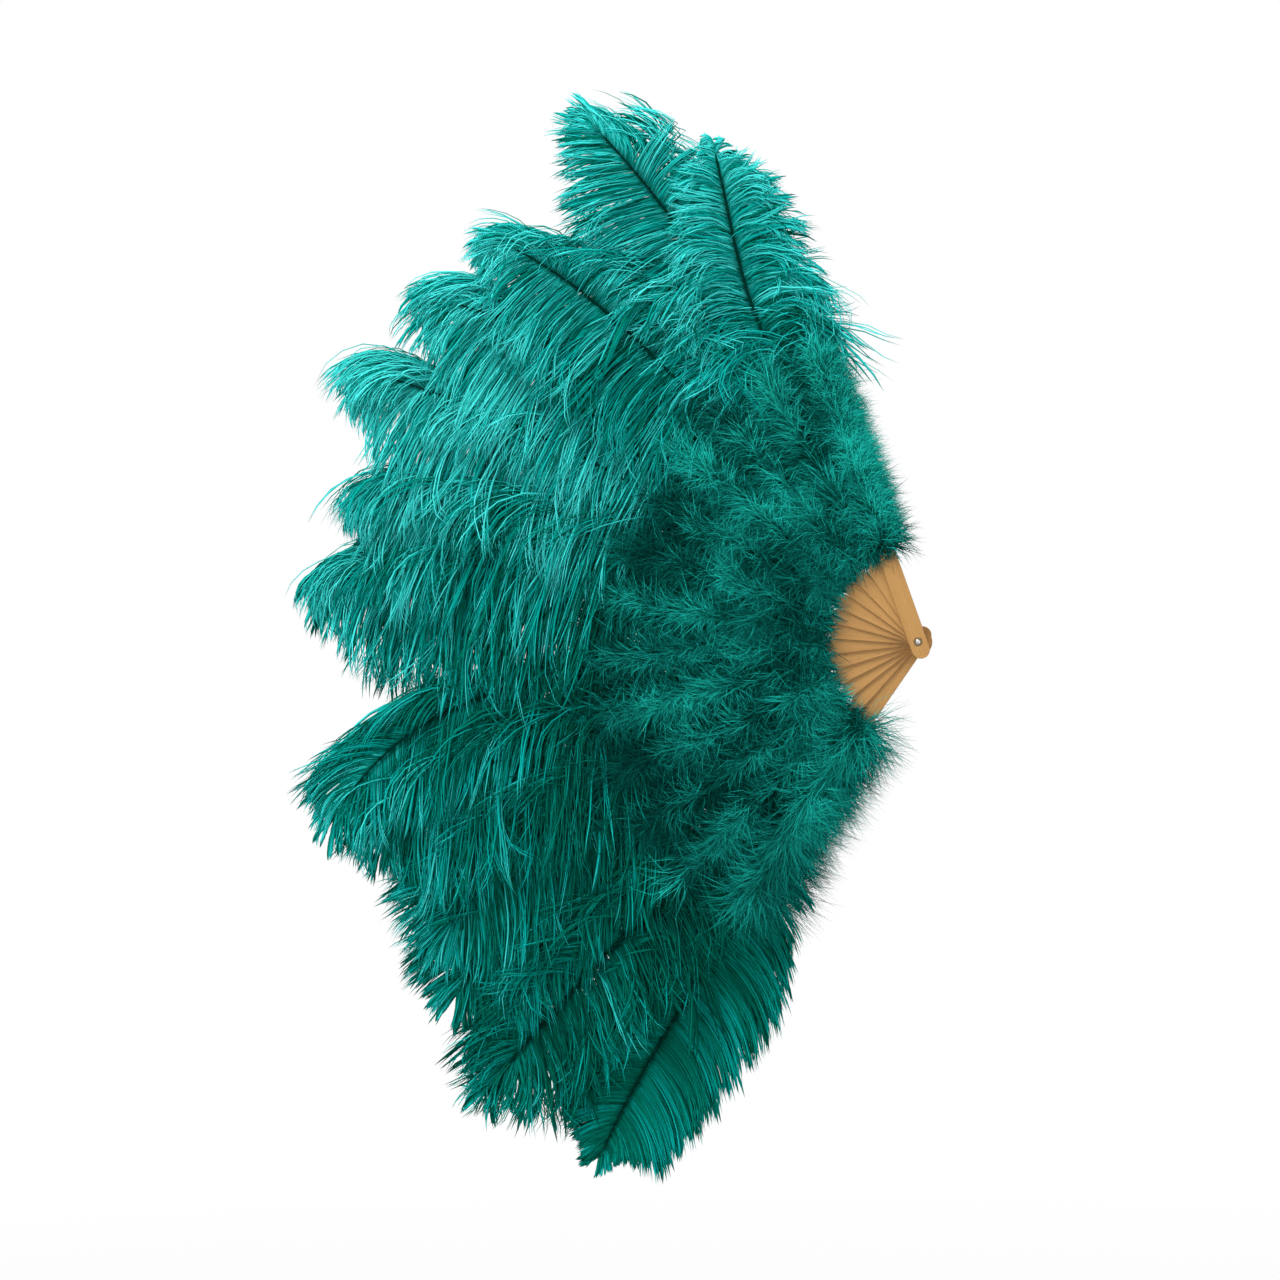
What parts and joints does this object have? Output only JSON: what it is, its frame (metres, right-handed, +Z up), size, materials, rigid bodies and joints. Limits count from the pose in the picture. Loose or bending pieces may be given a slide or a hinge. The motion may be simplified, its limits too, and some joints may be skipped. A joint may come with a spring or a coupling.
{
  "type": "feather fan",
  "caption": "Folding feather fan: bamboo guards and sticks on one rivet, each carrying a long turquoise plume, with a deep green marabou collar; opens to a wide arc and folds flat.",
  "frame": {"origin": "the middle of the rivet, on its axis, halfway through the stack of staves", "axes": "+Z is up as the open fan is held in the picture, the staves point towards -X, the fan opens in the XZ plane, the front faces -Y and the rivet lies along Y"},
  "size_m": [0.6658, 0.1436, 1.1193],
  "materials": {
    "bamboo": "satin",
    "rivet_metal": "polished",
    "washer_metal": "satin",
    "plume_feather": "matte",
    "marabou_down": "matte",
    "ribbon_cloth": "satin"
  },
  "bodies": {
    "front_stave": {"front_guard": "bamboo", "pivot_rivet": "rivet_metal", "front_washer": "washer_metal", "rear_washer": "washer_metal", "plume_01": "plume_feather", "marabou_01": "marabou_down", "ribbon_01": "ribbon_cloth"},
    "stave_01": {"stick_01": "bamboo", "plume_02": "plume_feather", "marabou_02": "marabou_down", "ribbon_02": "ribbon_cloth"},
    "stave_02": {"stick_02": "bamboo", "plume_03": "plume_feather", "marabou_03": "marabou_down", "ribbon_03": "ribbon_cloth"},
    "stave_03": {"stick_03": "bamboo", "plume_04": "plume_feather", "marabou_04": "marabou_down", "ribbon_04": "ribbon_cloth"},
    "stave_04": {"stick_04": "bamboo", "plume_05": "plume_feather", "marabou_05": "marabou_down", "ribbon_05": "ribbon_cloth"},
    "stave_05": {"stick_05": "bamboo", "plume_06": "plume_feather", "marabou_06": "marabou_down", "ribbon_06": "ribbon_cloth"},
    "stave_06": {"stick_06": "bamboo", "plume_07": "plume_feather", "marabou_07": "marabou_down", "ribbon_07": "ribbon_cloth"},
    "stave_07": {"stick_07": "bamboo", "plume_08": "plume_feather", "marabou_08": "marabou_down", "ribbon_08": "ribbon_cloth"},
    "stave_08": {"stick_08": "bamboo", "plume_09": "plume_feather", "marabou_09": "marabou_down", "ribbon_09": "ribbon_cloth"},
    "stave_09": {"stick_09": "bamboo", "plume_10": "plume_feather", "marabou_10": "marabou_down", "ribbon_10": "ribbon_cloth"},
    "stave_10": {"stick_10": "bamboo", "plume_11": "plume_feather", "marabou_11": "marabou_down", "ribbon_11": "ribbon_cloth"},
    "stave_11": {"stick_11": "bamboo", "plume_12": "plume_feather", "marabou_12": "marabou_down", "ribbon_12": "ribbon_cloth"},
    "rear_stave": {"rear_guard": "bamboo", "plume_13": "plume_feather", "marabou_13": "marabou_down"}
  },
  "joints": [
    {"name": "fan_fold", "type": "hinge", "parent": "front_stave", "child": "rear_stave", "pos_m": [0, 0, 0], "axis": [0, 1, 0], "range_deg": [0, 126], "deforming": ["marabou_01", "marabou_02", "marabou_03", "marabou_04", "marabou_05", "marabou_06", "marabou_07", "marabou_08", "marabou_09", "marabou_10", "marabou_11", "marabou_12", "marabou_13", "ribbon_01", "ribbon_02", "ribbon_03", "ribbon_04", "ribbon_05", "ribbon_06", "ribbon_07", "ribbon_08", "ribbon_09", "ribbon_10", "ribbon_11", "ribbon_12"]},
    {"name": "stick_01_turn", "type": "hinge", "parent": "front_stave", "child": "stave_01", "pos_m": [0, 0, 0], "axis": [0, 1, 0], "range_deg": [0, 10.5]},
    {"name": "stick_02_turn", "type": "hinge", "parent": "front_stave", "child": "stave_02", "pos_m": [0, 0, 0], "axis": [0, 1, 0], "range_deg": [0, 21]},
    {"name": "stick_03_turn", "type": "hinge", "parent": "front_stave", "child": "stave_03", "pos_m": [0, 0, 0], "axis": [0, 1, 0], "range_deg": [0, 31.5]},
    {"name": "stick_04_turn", "type": "hinge", "parent": "front_stave", "child": "stave_04", "pos_m": [0, 0, 0], "axis": [0, 1, 0], "range_deg": [0, 42]},
    {"name": "stick_05_turn", "type": "hinge", "parent": "front_stave", "child": "stave_05", "pos_m": [0, 0, 0], "axis": [0, 1, 0], "range_deg": [0, 52.5]},
    {"name": "stick_06_turn", "type": "hinge", "parent": "front_stave", "child": "stave_06", "pos_m": [0, 0, 0], "axis": [0, 1, 0], "range_deg": [0, 63]},
    {"name": "stick_07_turn", "type": "hinge", "parent": "front_stave", "child": "stave_07", "pos_m": [0, 0, 0], "axis": [0, 1, 0], "range_deg": [0, 73.5]},
    {"name": "stick_08_turn", "type": "hinge", "parent": "front_stave", "child": "stave_08", "pos_m": [0, 0, 0], "axis": [0, 1, 0], "range_deg": [0, 84]},
    {"name": "stick_09_turn", "type": "hinge", "parent": "front_stave", "child": "stave_09", "pos_m": [0, 0, 0], "axis": [0, 1, 0], "range_deg": [0, 94.5]},
    {"name": "stick_10_turn", "type": "hinge", "parent": "front_stave", "child": "stave_10", "pos_m": [0, 0, 0], "axis": [0, 1, 0], "range_deg": [0, 105]},
    {"name": "stick_11_turn", "type": "hinge", "parent": "front_stave", "child": "stave_11", "pos_m": [0, 0, 0], "axis": [0, 1, 0], "range_deg": [0, 115.5]}
  ],
  "couplings": [
    {"joint": "stick_01_turn", "follows": "fan_fold", "ratio": 0.083333},
    {"joint": "stick_02_turn", "follows": "fan_fold", "ratio": 0.16667},
    {"joint": "stick_03_turn", "follows": "fan_fold", "ratio": 0.25},
    {"joint": "stick_04_turn", "follows": "fan_fold", "ratio": 0.33333},
    {"joint": "stick_05_turn", "follows": "fan_fold", "ratio": 0.41667},
    {"joint": "stick_06_turn", "follows": "fan_fold", "ratio": 0.5},
    {"joint": "stick_07_turn", "follows": "fan_fold", "ratio": 0.58333},
    {"joint": "stick_08_turn", "follows": "fan_fold", "ratio": 0.66667},
    {"joint": "stick_09_turn", "follows": "fan_fold", "ratio": 0.75},
    {"joint": "stick_10_turn", "follows": "fan_fold", "ratio": 0.83333},
    {"joint": "stick_11_turn", "follows": "fan_fold", "ratio": 0.91667}
  ]
}
